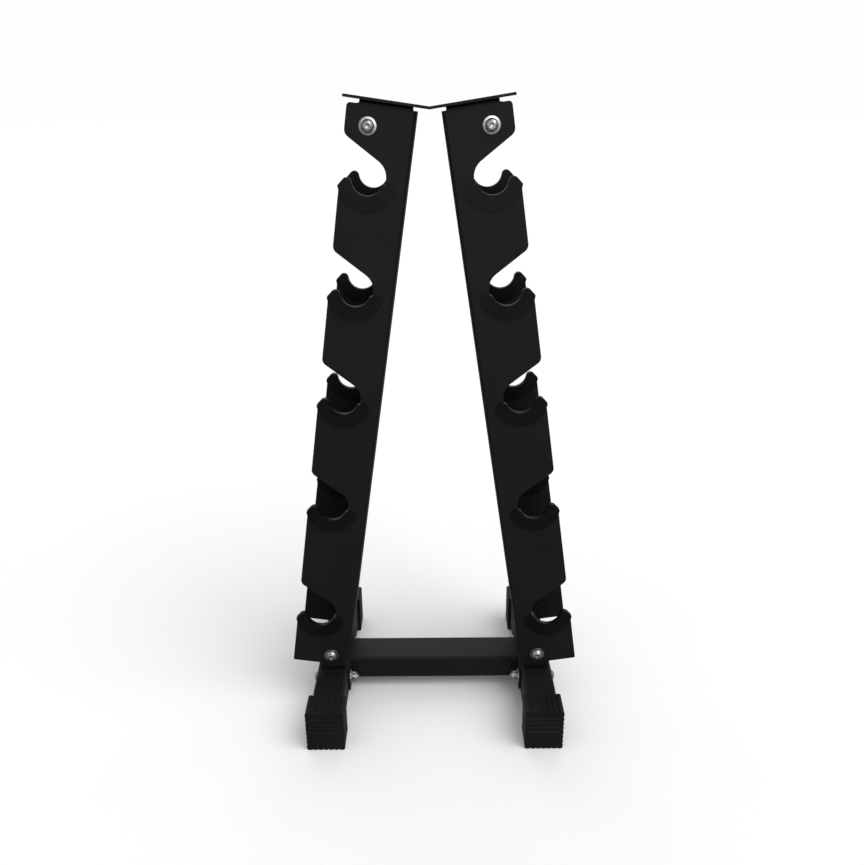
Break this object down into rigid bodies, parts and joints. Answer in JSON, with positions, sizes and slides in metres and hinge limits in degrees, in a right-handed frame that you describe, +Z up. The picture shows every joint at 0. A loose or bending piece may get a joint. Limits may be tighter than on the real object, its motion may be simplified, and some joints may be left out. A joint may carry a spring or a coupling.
{
  "type": "dumbbell rack",
  "caption": "Free-standing A-frame rack that holds dumbbells in lined hooks on two leaning channels, with a crossbar between two capped foot tubes.",
  "frame": {"origin": "on the floor, in the middle of the footprint", "axes": "+Z up; the rack's front looks along -Y; +X is to the right of someone who stands behind the rack and looks out over its front, which is the right-hand side of a front view"},
  "size_m": [0.376, 0.2892, 0.7675],
  "materials": {
    "frame": "matte black powder coat, fine texture",
    "liner": "moulded black plastic, satin",
    "foot_cap": "moulded black rubber with flutes",
    "fastener": "bright zinc plating"
  },
  "bodies": {
    "root": {"crossbar": "frame", "crossbar_bolts": "fastener", "crossbar_inner_washers": "fastener", "crossbar_nuts": "fastener", "crossbar_outer_washers": "fastener", "head_bolts": "fastener", "head_nuts": "fastener", "head_washers": "fastener", "left_back_cap": "foot_cap", "left_back_liner_five": "liner", "left_back_liner_four": "liner", "left_back_liner_one": "liner", "left_back_liner_three": "liner", "left_back_liner_two": "liner", "left_channel": "frame", "left_end_plate": "frame", "left_foot_bracket": "frame", "left_foot_tube": "frame", "left_front_cap": "foot_cap", "left_front_liner_five": "liner", "left_front_liner_four": "liner", "left_front_liner_one": "liner", "left_front_liner_three": "liner", "left_front_liner_two": "liner", "left_head_bracket": "frame", "lower_bolts": "fastener", "lower_nuts": "fastener", "lower_washers": "fastener", "right_back_cap": "foot_cap", "right_back_liner_five": "liner", "right_back_liner_four": "liner", "right_back_liner_one": "liner", "right_back_liner_three": "liner", "right_back_liner_two": "liner", "right_channel": "frame", "right_end_plate": "frame", "right_foot_bracket": "frame", "right_foot_tube": "frame", "right_front_cap": "foot_cap", "right_front_liner_five": "liner", "right_front_liner_four": "liner", "right_front_liner_one": "liner", "right_front_liner_three": "liner", "right_front_liner_two": "liner", "right_head_bracket": "frame", "top_plate": "frame"}
  },
  "joints": []
}
